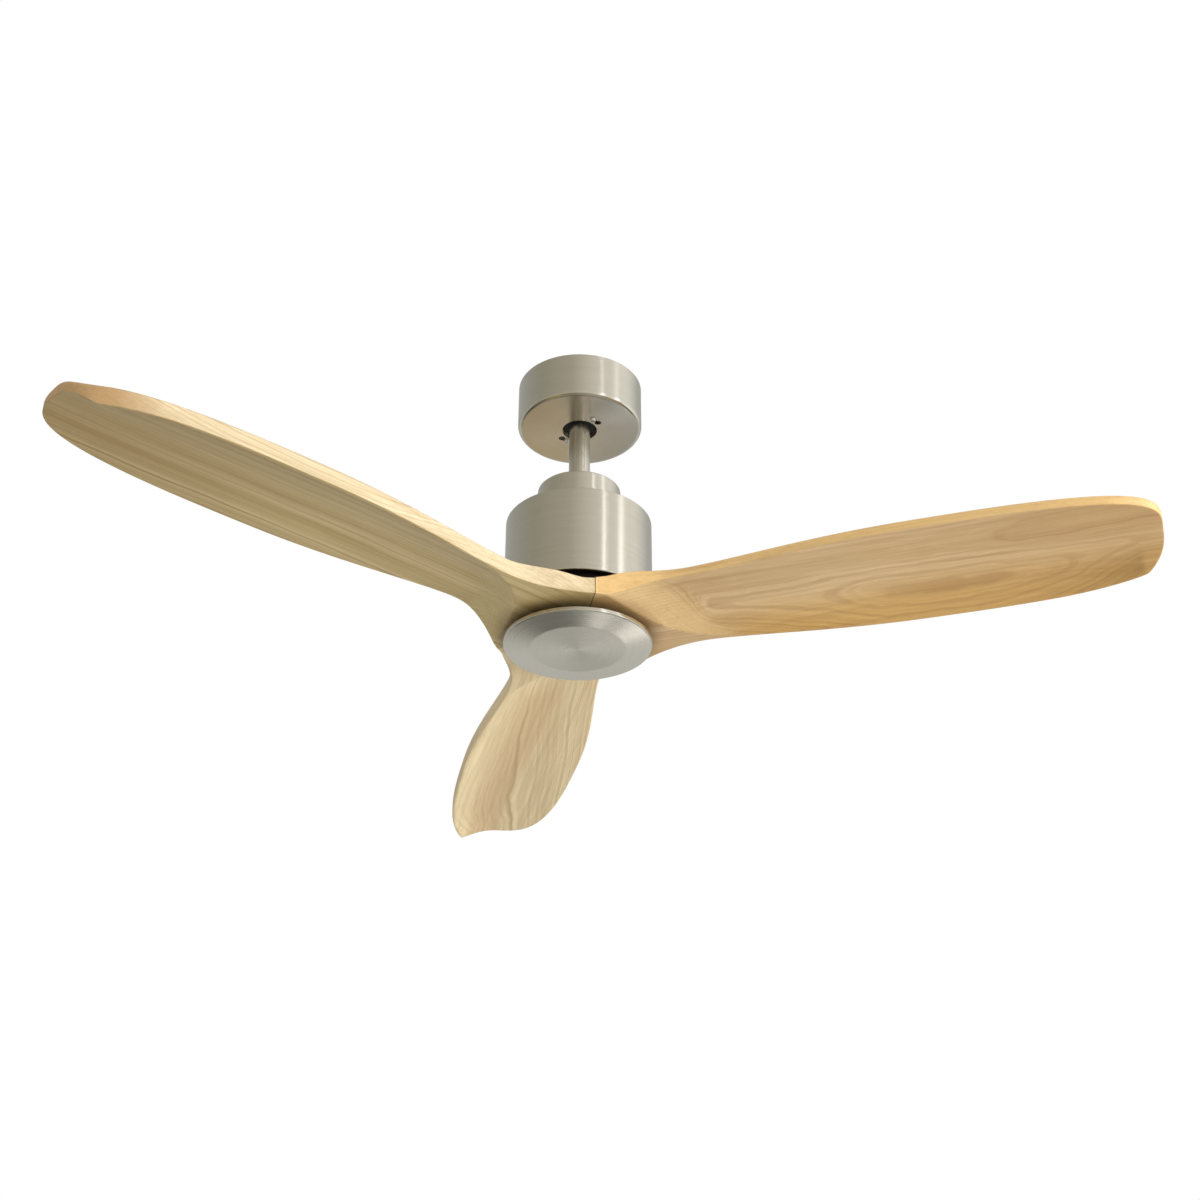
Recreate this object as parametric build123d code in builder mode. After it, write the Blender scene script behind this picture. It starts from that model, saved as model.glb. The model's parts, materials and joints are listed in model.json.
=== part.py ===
from build123d import *
from math import atan2, cos, degrees, exp, hypot, log, pi, radians, sin
import os

# Ceiling fan with three carved ash blades, a brushed canopy and motor housing, and a blank bottom cap.
# Millimetres. Origin: centre of the ceiling face of the hanger bracket. +Z up, so the fan hangs below Z = 0.

# ---------------------------------------------------------------- driving dimensions
sweep_radius = 658.0          # tip of a blade to the axis: a nominal 52 inch fan
blade_count = 3
first_blade_angle = -18.8     # about Z, from +X
running_gap = 0.05            # radial clearance of turning fits
body_gap = 0.3                # between pieces of different bodies

canopy_radius = 76.8
canopy_height = 60.0
canopy_wall = 1.0
canopy_hole_radius = 21.5
canopy_edge_radius = 5.0
canopy_screw_radius = 28.0    # from the axis
canopy_screw_angle = 125.0
keyhole_turn = 18.0           # degrees from the screw to the wide end of its keyhole

rod_radius = 12.9
rod_wall = 2.0
rod_top = -23.0
rod_length = 152.4            # 6 inch downrod
ball_radius = 27.0
ball_centre = -38.0

cover_radius = 50.3           # coupling cover
cover_top = -153.5
housing_radius = 87.5
housing_top = -202.0
housing_bottom = -311.6
housing_lip = 4.0
sheet = 1.2

hub_top = -329.7              # flat face of the blades against the blade plate
hub_thickness = 20.0
hub_hole_radius = 30.0
seam_radius = 100.9           # outer end of the mitre between two blades
seam_gap = 0.35               # each side of the mitre

cap_radius = 86.6
cap_flat_radius = 55.5
cap_top = -360.5
cap_rim_height = 4.6
cap_drop = 4.0

shaft_radius = 8.0
shaft_bore_radius = 4.5

os.makedirs("parts", exist_ok=True)


# ---------------------------------------------------------------- helpers
def finish(piece, label):
    """Name a finished piece and write it."""
    piece.part.label = label
    export_step(piece.part, f"parts/{label}.step")


def outline_rz(*points):
    """Closed outline in the X-Z half plane, from (radius, height) points, to revolve about Z."""
    with BuildSketch(Plane.XZ) as face:
        with BuildLine():
            Polyline(*points, close=True)
        make_face()
    return face.sketch


def ring_rz(inner, outer, low, high):
    """Rectangular ring outline between two radii and two heights."""
    return outline_rz((inner, low), (outer, low), (outer, high), (inner, high))


def polar(radius, angle, height=0.0):
    """Point at a radius and an angle about Z."""
    return (radius * cos(radians(angle)), radius * sin(radians(angle)), height)


def spots(radius, count, start=0.0):
    """Points evenly spaced on a circle about Z."""
    return [polar(radius, start + 360 * i / count) for i in range(count)]


def screw(head_radius, head_height, shank_radius, shank_length, under_head, points, up=True):
    """Pan-head screws at the given points; the head's bearing face is at under_head."""
    way = 1 if up else -1
    for x, y, _ in points:
        with BuildSketch(Plane((x, y, under_head), z_dir=(0, 0, -way))) as head:
            Circle(head_radius)
        extrude(head.sketch, amount=head_height, taper=18)
        with BuildSketch(Plane((x, y, under_head), z_dir=(0, 0, way))) as shank:
            Circle(shank_radius)
        extrude(shank.sketch, amount=shank_length)


def cross_recess(points, face, depth, width, length, up=True):
    """Cross recesses cut into screw heads whose outer face is at the given height."""
    way = 1 if up else -1
    for x, y, _ in points:
        with BuildSketch(Plane((x, y, face), z_dir=(0, 0, way))) as cross:
            Rectangle(length, width)
            Rectangle(width, length)
        extrude(cross.sketch, amount=depth, mode=Mode.SUBTRACT)


# ================================================================ fixed to the ceiling
# hanger bracket: top bar with two slots, two legs, and a round seat that is open on one side
bracket_sheet = 2.5
seat_top = -49.0
seat_sheet = 3.0
seat_disc_radius = 33.0
leg_radius = 34.0
leg_width = 24.0
slot_spacing = 88.9
slot_length = 14.0
slot_radius = 2.6
seat_open_half = 17.5
key_half = 2.0
ear_width = 30.0              # ears that carry the receiver and the terminal block
ear_reach = 59.0
ground_screw_spot = (0.0, -14.0)

with BuildPart() as hanger_bracket:
    with BuildSketch():
        RectangleRounded(2 * 60, 40, 8)
        Rectangle(ear_width, 2 * ear_reach)
        Rectangle(2 * leg_radius, leg_width, rotation=canopy_screw_angle)
        with Locations((-slot_spacing / 2, 0), (slot_spacing / 2, 0)):
            SlotOverall(slot_length, 2 * slot_radius, mode=Mode.SUBTRACT)
        with Locations(ground_screw_spot):
            Circle(1.95, mode=Mode.SUBTRACT)
    extrude(amount=-bracket_sheet)
    leg_height = seat_sheet - seat_top
    for side in (0, 180):
        leg_angle = canopy_screw_angle + side
        with BuildSketch(Plane.XY.offset(seat_top - seat_sheet)):
            with Locations(polar(leg_radius - bracket_sheet / 2, leg_angle)):
                Rectangle(bracket_sheet, leg_width, rotation=leg_angle)
        extrude(amount=leg_height)
    with BuildSketch(Plane.XY.offset(seat_top - seat_sheet)):
        Circle(seat_disc_radius)
        with Locations(polar(seat_disc_radius, canopy_screw_angle + 90)):
            Rectangle(2 * seat_disc_radius, 2 * seat_open_half, rotation=canopy_screw_angle + 90,
                      mode=Mode.SUBTRACT)
    extrude(amount=seat_sheet)
    with Locations((0, 0, ball_centre)):
        Sphere(ball_radius + body_gap, mode=Mode.SUBTRACT)
    with BuildSketch(Plane.XY.offset(seat_top - seat_sheet)):
        with Locations(polar(24.5, canopy_screw_angle - 90)):
            Rectangle(5, 2 * key_half, rotation=canopy_screw_angle - 90)
    extrude(amount=seat_sheet + 5)
    with Locations(*spots(canopy_screw_radius, 2, canopy_screw_angle)):
        Cylinder(2.0, 2 * 60, mode=Mode.SUBTRACT)
finish(hanger_bracket, "hanger_bracket")

# canopy: deep cup, open against the ceiling, with the rod hole and two keyholes in its floor
canopy_floor = -canopy_height
canopy_rim = -0.5
with BuildPart() as canopy:
    inside = canopy_radius - canopy_wall
    revolve(outline_rz((0, canopy_floor), (canopy_radius, canopy_floor), (canopy_radius, canopy_rim),
                       (inside, canopy_rim), (inside, canopy_floor + canopy_wall),
                       (0, canopy_floor + canopy_wall)), axis=Axis.Z)
    rings = canopy.edges().filter_by(GeomType.CIRCLE).group_by(Axis.Z)
    fillet(rings[0], canopy_edge_radius)
    rings = canopy.edges().filter_by(GeomType.CIRCLE)
    corner = rings.filter_by(lambda ring: abs(ring.radius - inside) < 0.01).sort_by(Axis.Z)[0]
    fillet(corner, canopy_edge_radius - canopy_wall)
    with BuildSketch(Plane.XY.offset(canopy_floor - 1)):
        Circle(canopy_hole_radius)
        for key_angle in (canopy_screw_angle, canopy_screw_angle + 180):
            with Locations(polar(canopy_screw_radius, key_angle + keyhole_turn)):
                Circle(4.2)
            with Locations(polar(canopy_screw_radius, key_angle)):
                Circle(2.3)
            with BuildLine():
                CenterArc((0, 0), canopy_screw_radius, key_angle, keyhole_turn)
            trace(line_width=4.6)
    extrude(amount=4, mode=Mode.SUBTRACT)
finish(canopy, "canopy")

# two screws hold the canopy up against the bracket's seat
with BuildPart() as canopy_screws:
    points = spots(canopy_screw_radius, 2, canopy_screw_angle)
    screw(4.0, 2.4, 1.9, 12, canopy_floor, points)
    cross_recess(points, canopy_floor - 2.4, 1.4, 0.9, 4.2)
finish(canopy_screws, "canopy_screws")

# receiver of the remote control and the terminal block, under the bracket's two ears
with BuildPart() as receiver_box:
    with Locations((0, 48, -bracket_sheet)):
        Box(72, 20, 42, align=(Align.CENTER, Align.CENTER, Align.MAX))
    fillet(receiver_box.edges().filter_by(Axis.Z), 3)
    fillet(receiver_box.edges().group_by(Axis.Z)[0], 1.5)
    with BuildSketch(Plane((0, 38, -24), z_dir=(0, -1, 0))):
        Rectangle(40, 22)
    extrude(amount=-1, mode=Mode.SUBTRACT)
finish(receiver_box, "receiver_box")

with BuildPart() as terminal_block:
    with Locations((0, -48, -bracket_sheet)):
        Box(33, 18, 12, align=(Align.CENTER, Align.CENTER, Align.MAX))
    with Locations((-11, -48, -14.5), (0, -48, -14.5), (11, -48, -14.5)):
        Box(8, 14, 4, align=(Align.CENTER, Align.CENTER, Align.MAX))
        Cylinder(2.4, 12, mode=Mode.SUBTRACT)
finish(terminal_block, "terminal_block")

with BuildPart() as ground_screw:
    points = [(*ground_screw_spot, 0)]
    screw(3.6, 2.2, 1.9, bracket_sheet, -bracket_sheet, points)
    cross_recess(points, -bracket_sheet - 2.2, 1.3, 0.9, 4)
finish(ground_screw, "ground_screw")

# ================================================================ the ball joint's cross pin
pin_radius = 3.0
with BuildPart() as hanger_pin:
    with BuildSketch(Plane.YZ.offset(-21)):
        with Locations((0, ball_centre)):
            Circle(pin_radius)
    extrude(amount=42)
    chamfer(hanger_pin.edges(), 0.5)
finish(hanger_pin, "hanger_pin")

# ================================================================ hangs from the ball
rod_bottom = rod_top - rod_length
rod_bore = rod_radius - rod_wall
with BuildPart() as hanger_ball:
    with Locations((0, 0, ball_centre)):
        Sphere(ball_radius)
        with Locations((0, 0, 16), (0, 0, -19 - 20)):
            Box(80, 80, 20, align=(Align.CENTER, Align.CENTER, Align.MIN), mode=Mode.SUBTRACT)
        Cylinder(rod_radius + 0.1, 80, mode=Mode.SUBTRACT)
        Cylinder(pin_radius + running_gap, 80, rotation=(0, 90, 0), mode=Mode.SUBTRACT)
    with BuildSketch(Plane.XY.offset(ball_centre + 2)):
        with Locations(polar(23, canopy_screw_angle - 90)):
            Rectangle(13, 13, rotation=canopy_screw_angle - 90)
    extrude(amount=-30, mode=Mode.SUBTRACT)
    with BuildSketch(Plane.XZ):
        with Locations((0, ball_centre - 12)):
            Circle(2.5)
    extrude(amount=40, mode=Mode.SUBTRACT)
finish(hanger_ball, "hanger_ball")

with BuildPart() as ball_set_screw:
    with BuildSketch(Plane.XZ.offset(rod_radius)):
        with Locations((0, ball_centre - 12)):
            Circle(2.45)
    extrude(amount=7.5)
    with BuildSketch(Plane.XZ.offset(rod_radius + 7.5)):
        with Locations((0, ball_centre - 12)):
            RegularPolygon(1.3, 6)
    extrude(amount=-3, mode=Mode.SUBTRACT)
finish(ball_set_screw, "ball_set_screw")

clevis_height = -164.0
with BuildPart() as downrod:
    revolve(ring_rz(rod_bore, rod_radius, rod_bottom, rod_top), axis=Axis.Z)
    with Locations((0, 0, ball_centre), (0, 0, clevis_height)):
        Cylinder(pin_radius + running_gap, 60, rotation=(0, 90, 0), mode=Mode.SUBTRACT)
finish(downrod, "downrod")

# collar on top of the motor that takes the rod, with its pin, clip and set screws
yoke_radius = 19.0
yoke_flange = 38.0
housing_screw_circle = 30.0
with BuildPart() as coupling_yoke:
    revolve(outline_rz((rod_radius + 0.1, -157), (yoke_radius, -157), (yoke_radius, -192), (24, -197),
                       (yoke_flange, -197), (yoke_flange, housing_top), (10.5, housing_top),
                       (10.5, rod_bottom), (rod_radius + 0.1, rod_bottom)), axis=Axis.Z)
    with Locations((0, 0, clevis_height)):
        Cylinder(pin_radius + running_gap, 60, rotation=(0, 90, 0), mode=Mode.SUBTRACT)
    with Locations((0, 0, clevis_height - 7)):
        Cylinder(2.5, 60, rotation=(90, 0, 0), mode=Mode.SUBTRACT)
    with Locations(*spots(housing_screw_circle, 4, 45)):
        Cylinder(2.3, 500, mode=Mode.SUBTRACT)
finish(coupling_yoke, "coupling_yoke")

clip_x = yoke_radius + 5
with BuildPart() as clevis_pin:
    with BuildSketch(Plane.YZ.offset(-yoke_radius - 2)):
        with Locations((0, clevis_height)):
            Circle(4.8)
    extrude(amount=2)
    with BuildSketch(Plane.YZ.offset(-yoke_radius)):
        with Locations((0, clevis_height)):
            Circle(pin_radius)
    extrude(amount=2 * yoke_radius + 7)
    with Locations((clip_x, 0, clevis_height)):
        Cylinder(0.95, 20, mode=Mode.SUBTRACT)
finish(clevis_pin, "clevis_pin")

clip_wire = 0.85
clip_ring = 3.3
with BuildPart() as cotter_pin:
    with Locations((clip_x, 0, clevis_height + 6)):
        Cylinder(clip_wire, 15, align=(Align.CENTER, Align.CENTER, Align.MAX))
    with Locations((clip_x, 0, clevis_height - 9 - clip_ring)):
        Torus(clip_ring, clip_wire, rotation=(90, 0, 0))
finish(cotter_pin, "cotter_pin")

with BuildPart() as yoke_set_screws:
    for way in (1, -1):
        with BuildSketch(Plane((0, way * rod_radius, clevis_height - 7), z_dir=(0, way, 0))) as grub:
            Circle(2.45)
        extrude(grub.sketch, amount=9)
        with BuildSketch(Plane((0, way * (rod_radius + 9), clevis_height - 7), z_dir=(0, -way, 0))) as key:
            RegularPolygon(1.3, 6)
        extrude(key.sketch, amount=3, mode=Mode.SUBTRACT)
finish(yoke_set_screws, "yoke_set_screws")

# coupling cover: slides on the rod and rests on the motor housing
with BuildPart() as coupling_cover:
    inner = cover_radius - sheet
    bore = rod_radius + 0.35
    revolve(outline_rz((bore, cover_top), (cover_radius, cover_top), (cover_radius, housing_top),
                       (inner, housing_top), (inner, cover_top - sheet), (bore, cover_top - sheet)),
            axis=Axis.Z)
    rings = coupling_cover.edges().filter_by(GeomType.CIRCLE)
    fillet(rings.filter_by(lambda ring: abs(ring.radius - cover_radius) < 0.01).sort_by(Axis.Z)[-1], 1.5)
finish(coupling_cover, "coupling_cover")

# motor housing: deep cup with an inward lip round its open bottom
with BuildPart() as motor_housing:
    inner = housing_radius - sheet
    ceiling = housing_top - sheet
    lip = housing_radius - housing_lip
    revolve(outline_rz((10.5, housing_top), (housing_radius, housing_top), (housing_radius, housing_bottom),
                       (lip, housing_bottom), (lip, housing_bottom + sheet),
                       (inner, housing_bottom + sheet), (inner, ceiling), (10.5, ceiling)), axis=Axis.Z)
    fillet(motor_housing.edges().filter_by(GeomType.CIRCLE).group_by(Axis.Z)[-1].sort_by(SortBy.RADIUS)[-1],
           1.0)
    fillet(motor_housing.edges().filter_by(GeomType.CIRCLE).group_by(Axis.Z)[0].sort_by(SortBy.RADIUS)[-1],
           1.0)
    with Locations(*spots(housing_screw_circle, 4, 45)):
        Cylinder(2.3, 2000, mode=Mode.SUBTRACT)
finish(motor_housing, "motor_housing")

# plate under the housing's top: carries the shaft, the driver board and, through the yoke, the motor
plate_top = housing_top - sheet
plate_bottom = plate_top - 5
board_top = -226.0
board_post_circle = 50.0
with BuildPart() as motor_mount_plate:
    revolve(ring_rz(shaft_radius, 62, plate_bottom, plate_top), axis=Axis.Z)
    revolve(ring_rz(shaft_radius, 14, plate_bottom - 8, plate_bottom), axis=Axis.Z)
    with Locations(*spots(housing_screw_circle, 4, 45)):
        Cylinder(2.1, 2000, mode=Mode.SUBTRACT)
    with Locations(*spots(44, 8, 22.5)):
        Cylinder(4.5, 2000, mode=Mode.SUBTRACT)
    with Locations((0, 9.5, plate_bottom)):
        Box(8, 8, 40, mode=Mode.SUBTRACT)
finish(motor_mount_plate, "motor_mount_plate")

with BuildPart() as housing_screws:
    points = spots(housing_screw_circle, 4, 45)
    screw(4.2, 3.0, 2.05, 11, -197, points, up=False)
    cross_recess(points, -197 + 3.0, 1.6, 1.0, 4.4, up=False)
finish(housing_screws, "housing_screws")

# hollow shaft that stands still: the rotor turns round it, the cap is held at its lower end, and a slot in
# its upper end lets the lead out
shaft_bottom = -367.0
with BuildPart() as motor_shaft:
    revolve(ring_rz(shaft_bore_radius, shaft_radius, shaft_bottom, plate_top), axis=Axis.Z)
    chamfer(motor_shaft.edges().group_by(Axis.Z)[0], 0.8)
    with Locations((0, 3.6, plate_top - 22)):
        Box(5.6, 10, 30, align=(Align.CENTER, Align.MIN, Align.MIN), mode=Mode.SUBTRACT)
finish(motor_shaft, "motor_shaft")

# driver electronics on posts under the mount plate
with BuildPart() as board_posts:
    for x, y, _ in spots(board_post_circle, 3, 30):
        with BuildSketch(Plane((x, y, board_top))) as post:
            RegularPolygon(3.2, 6)
        extrude(post.sketch, amount=plate_bottom - board_top)
finish(board_posts, "board_posts")

with BuildPart() as driver_board:
    revolve(ring_rz(21, 58, board_top - 1.6, board_top), axis=Axis.Z)
    with Locations(*spots(board_post_circle, 3, 30)):
        Cylinder(1.6, 2000, mode=Mode.SUBTRACT)
finish(driver_board, "driver_board")

with BuildPart() as driver_components:
    for angle, part_radius, part_height in ((-100, 7, 14), (-76, 7, 14), (-50, 5, 12), (170, 5, 11)):
        with BuildSketch(Plane(polar(40, angle, board_top))) as can:
            Circle(part_radius)
        extrude(can.sketch, amount=part_height)
    for angle in (0, 62, 118, 200, 232):
        with BuildSketch(Plane(polar(38, angle, board_top))) as chip:
            Rectangle(10, 8, rotation=angle)
        extrude(chip.sketch, amount=3.5)
    with BuildSketch(Plane((0, 31, board_top))) as socket:
        Rectangle(14, 7)
    extrude(socket.sketch, amount=9)
finish(driver_components, "driver_components")

# lead from the driver board up through the rod, and the plug on its upper end
lead_radius = 2.4
lead_y = 6.6
lead_turn = 9.0
lead_foot = board_top + 5
with BuildPart() as motor_lead:
    with BuildLine() as lead_path:
        FilletPolyline((0, 27.5, lead_foot), (0, lead_y, lead_foot), (0, lead_y, -18), radius=lead_turn)
    with BuildSketch(Plane(lead_path.line @ 0, z_dir=lead_path.line % 0)):
        Circle(lead_radius)
    sweep()
finish(motor_lead, "motor_lead")

with BuildPart() as lead_plug:
    with Locations((0, lead_y, -18)):
        Box(13, 7, 11, align=(Align.CENTER, Align.CENTER, Align.MIN))
    chamfer(lead_plug.edges().group_by(Axis.Z)[-1], 1)
    with Locations((-3, lead_y, -7), (3, lead_y, -7)):
        Box(3.4, 4, 6, mode=Mode.SUBTRACT)
finish(lead_plug, "lead_plug")

# stator: spider on the shaft, laminated core with twelve teeth, and a coil on each tooth
core_low = -290.0
core_high = -266.0
tooth_count = 12
tooth_width = 8.0
core_ring_outer = 33.0
stator_radius = 65.2
with BuildPart() as stator_hub:
    revolve(ring_rz(shaft_radius, 13, core_low - 4, core_high + 10), axis=Axis.Z)
    revolve(ring_rz(13, 22, core_low, core_high), axis=Axis.Z)
    with Locations(*spots(17.5, 6)):
        Cylinder(2.2, 2000, mode=Mode.SUBTRACT)
finish(stator_hub, "stator_hub")

with BuildPart() as stator_core:
    with BuildSketch(Plane.XY.offset(core_low)):
        Circle(core_ring_outer)
        with PolarLocations(0, tooth_count):
            with Locations((45, 0)):
                Rectangle(36, tooth_width)
    extrude(amount=core_high - core_low)
    with BuildSketch(Plane.XY.offset(core_low)) as tips:
        Circle(stator_radius)
        Circle(61.5, mode=Mode.SUBTRACT)
        with PolarLocations(0, tooth_count, start_angle=15):
            with Locations((60, 0)):
                Rectangle(20, 4, mode=Mode.SUBTRACT)
    extrude(amount=core_high - core_low)
    with Locations((0, 0, 0)):
        Cylinder(22, 2000, mode=Mode.SUBTRACT)
finish(stator_core, "stator_core")

with BuildPart() as stator_coils:
    for i in range(tooth_count):
        with BuildSketch(Plane(polar(35, 360 * i / tooth_count, (core_low + core_high) / 2),
                               x_dir=(0, 0, 1), z_dir=polar(1, 360 * i / tooth_count))) as coil:
            RectangleRounded(core_high - core_low + 9, tooth_width + 8, 3)
            Rectangle(core_high - core_low + 0.4, tooth_width + 0.4, mode=Mode.SUBTRACT)
        extrude(coil.sketch, amount=25)
finish(stator_coils, "stator_coils")

with BuildPart() as shaft_clip:
    revolve(ring_rz(shaft_radius, 11, -324, -323), axis=Axis.Z)
    with Locations(polar(9, 40, -323.5)):
        Box(10, 4, 4, rotation=(0, 0, 40), mode=Mode.SUBTRACT)
finish(shaft_clip, "shaft_clip")

# still pieces below the blades: backing plate, its nut, and the blank cap with its welded nut
with BuildPart() as cap_backplate:
    revolve(outline_rz((shaft_radius, -347), (13, -347), (13, -357.4), (78, -357.4), (78, -358.9),
                       (shaft_radius, -358.9)), axis=Axis.Z)
    fillet(cap_backplate.edges().filter_by(GeomType.CIRCLE).group_by(Axis.Z)[-1], 0.5)
finish(cap_backplate, "cap_backplate")

with BuildPart() as backplate_nut:
    with BuildSketch(Plane.XY.offset(-358.9)):
        RegularPolygon(12, 6, major_radius=False)
        Circle(shaft_radius, mode=Mode.SUBTRACT)
    extrude(amount=-3.4)
finish(backplate_nut, "backplate_nut")

cap_rim_bottom = cap_top - cap_rim_height
cap_floor = cap_rim_bottom - cap_drop
cap_sheet = 1.0
with BuildPart() as bottom_cap:
    revolve(outline_rz((0, cap_floor), (cap_flat_radius, cap_floor), (cap_radius, cap_rim_bottom),
                       (cap_radius, cap_top), (cap_radius - cap_sheet, cap_top),
                       (cap_radius - cap_sheet, cap_rim_bottom + 0.8),
                       (cap_flat_radius, cap_floor + cap_sheet), (0, cap_floor + cap_sheet)), axis=Axis.Z)
    bends = bottom_cap.edges().filter_by(GeomType.CIRCLE)
    fillet(bends.filter_by(lambda bend: abs(bend.radius - cap_flat_radius) < 0.1), 20)
    bends = bottom_cap.edges().filter_by(GeomType.CIRCLE)
    fillet(bends.filter_by(lambda bend: abs(bend.radius - cap_radius) < 0.1).sort_by(Axis.Z)[0], 1.6)
finish(bottom_cap, "bottom_cap")

with BuildPart() as cap_nut:
    with BuildSketch(Plane.XY.offset(cap_floor + cap_sheet)):
        RegularPolygon(11, 6, major_radius=False)
        Circle(shaft_radius, mode=Mode.SUBTRACT)
    extrude(amount=5.4)
finish(cap_nut, "cap_nut")

# ================================================================ rotor: turns round the shaft
rotor_radius = 75.0
rotor_split = -279.0
rotor_top = -240.0
rotor_bottom = -322.0
shell_wall = 3.0
flange_radius = 80.5
bearing_radius = 16.0
bearing_width = 9.0
shell_screw_circle = 77.9
upper_bearing_top = -246.0
lower_bearing_bottom = -317.0

with BuildPart() as rotor_top_shell:
    inside = rotor_radius - shell_wall
    revolve(outline_rz((10, rotor_top), (rotor_radius - 8, rotor_top), (rotor_radius, rotor_top - 8),
                       (rotor_radius, rotor_split + 3), (flange_radius, rotor_split + 3),
                       (flange_radius, rotor_split), (inside, rotor_split), (inside, rotor_top - 9),
                       (inside - 6, rotor_top - 4), (20, rotor_top - 4),
                       (20, upper_bearing_top - bearing_width),
                       (bearing_radius, upper_bearing_top - bearing_width),
                       (bearing_radius, upper_bearing_top), (10, upper_bearing_top)), axis=Axis.Z)
    with Locations(*spots(shell_screw_circle, 6)):
        Cylinder(1.6, 2000, mode=Mode.SUBTRACT)
    with Locations(*spots(42, 6, 30)):
        Cylinder(7, 2000, mode=Mode.SUBTRACT)
finish(rotor_top_shell, "rotor_top_shell")

with BuildPart() as rotor_bottom_shell:
    bearing_top = lower_bearing_bottom + bearing_width
    revolve(outline_rz((inside, rotor_split), (flange_radius, rotor_split), (flange_radius, rotor_split - 3),
                       (rotor_radius, rotor_split - 3), (rotor_radius, rotor_bottom + 8),
                       (rotor_radius - 8, rotor_bottom), (10, rotor_bottom), (10, lower_bearing_bottom),
                       (bearing_radius, lower_bearing_bottom), (bearing_radius, bearing_top),
                       (20, bearing_top), (20, rotor_bottom + 4), (inside - 6, rotor_bottom + 4),
                       (inside, rotor_bottom + 9)),
            axis=Axis.Z)
    with Locations(*spots(shell_screw_circle, 6)):
        Cylinder(1.6, 2000, mode=Mode.SUBTRACT)
    with Locations(*spots(24, 6)):
        Cylinder(2.1, 2000, mode=Mode.SUBTRACT)
finish(rotor_bottom_shell, "rotor_bottom_shell")

with BuildPart() as shell_screws:
    screw(2.5, 1.8, 1.55, 6, rotor_split + 3, spots(shell_screw_circle, 6), up=False)
    cross_recess(spots(shell_screw_circle, 6), rotor_split + 3 + 1.8, 1.0, 0.6, 2.8, up=False)
finish(shell_screws, "shell_screws")

with BuildPart() as magnets:
    with BuildSketch(Plane.XY.offset(core_low - 1)):
        Circle(inside)
        Circle(66.4, mode=Mode.SUBTRACT)
        with PolarLocations(0, 14):
            with Locations((69, 0)):
                Rectangle(12, 4, mode=Mode.SUBTRACT)
    extrude(amount=core_high - core_low + 2)
finish(magnets, "magnets")


def bearing(low):
    """Ball bearing: inner ring that runs on the shaft, outer ring, shields, and nine balls."""
    high = low + bearing_width
    middle = (low + high) / 2
    revolve(ring_rz(shaft_radius + running_gap, 10.4, low, high), axis=Axis.Z)
    revolve(ring_rz(13.6, bearing_radius, low, high), axis=Axis.Z)
    with Locations(*[(x, y, middle) for x, y, _ in spots(12, 9)]):
        Sphere(1.55)


with BuildPart() as upper_bearing:
    bearing(upper_bearing_top - bearing_width)
finish(upper_bearing, "upper_bearing")

with BuildPart() as lower_bearing:
    bearing(lower_bearing_bottom)
finish(lower_bearing, "lower_bearing")

# black plate under the rotor that the blades are screwed to
blade_plate_radius = 80.0
blade_plate_top = -325.0
plate_screw_circle = 24.0
blade_screw_spots = ((62.0, 0.0), (47.0, 32.0), (47.0, -32.0))
with BuildPart() as blade_plate:
    revolve(outline_rz((16, rotor_bottom), (40, rotor_bottom), (40, blade_plate_top),
                       (blade_plate_radius, blade_plate_top), (blade_plate_radius, hub_top), (16, hub_top)),
            axis=Axis.Z)
    with PolarLocations(0, blade_count, start_angle=first_blade_angle):
        with Locations(*blade_screw_spots):
            Cylinder(2.5, 2000, mode=Mode.SUBTRACT)
    with Locations(*spots(plate_screw_circle, 6)):
        Cylinder(2.1, 2000, mode=Mode.SUBTRACT)
finish(blade_plate, "blade_plate")

with BuildPart() as plate_screws:
    points = spots(plate_screw_circle, 6)
    screw(3.6, 2.4, 2.05, 11, hub_top, points)
    cross_recess(points, hub_top - 2.4, 1.4, 0.9, 4)
finish(plate_screws, "plate_screws")

# ---------------------------------------------------------------- blades
# In a blade's own frame u runs out along the blade and v across it, towards the thick leading edge.
waist_u = 145.0               # narrowest place
waist_half = 56.3
belly_u = 400.0               # widest place
belly_half = 79.5
root_flare = 31.4
root_length = 95.0
lead_bottom = hub_top - hub_thickness
trail_bottom = -327.5
trail_top = -315.3
edge_droop = 0.010            # fall of the leading edge per unit of u
trail_droop = 0.005
tip_power = 2.87
tip_root = 3.56
tip_half = 54.0               # half width that the section keeps round the tip


def half_width(u):
    """Half the blade's width: flared root, narrow waist, belly, and a blunt round tip."""
    if u < waist_u:
        return waist_half + root_flare * ((waist_u - u) / root_length) ** 2
    if u < belly_u:
        t = ((u - waist_u) / (belly_u - waist_u)) ** 0.75
        return waist_half + (belly_half - waist_half) * sin(pi / 2 * t) ** 2
    x = min(1.0, (u - belly_u) / (sweep_radius - belly_u))
    return belly_half * (1 - x ** tip_power) ** (1 / tip_root)


def clamp(x, low=0.0, high=1.0):
    return max(low, min(high, x))


def smooth(x):
    x = clamp(x)
    return x * x * (3 - 2 * x)


def chord(u, v):
    """0 at the leading edge, 1 at the trailing edge; round the tip the leading edge thins out."""
    half = max(half_width(u), tip_half if u > belly_u else 0)
    return (half - v) / (2 * half)


def scoop_edge(v):
    """The u where the carved hollow of the underside begins, for each v."""
    return 94.3 + 0.388 * v + 7.4 * exp((v - 9) / 21.5)


def lower_plane(u):
    return lead_bottom - edge_droop * u


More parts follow.
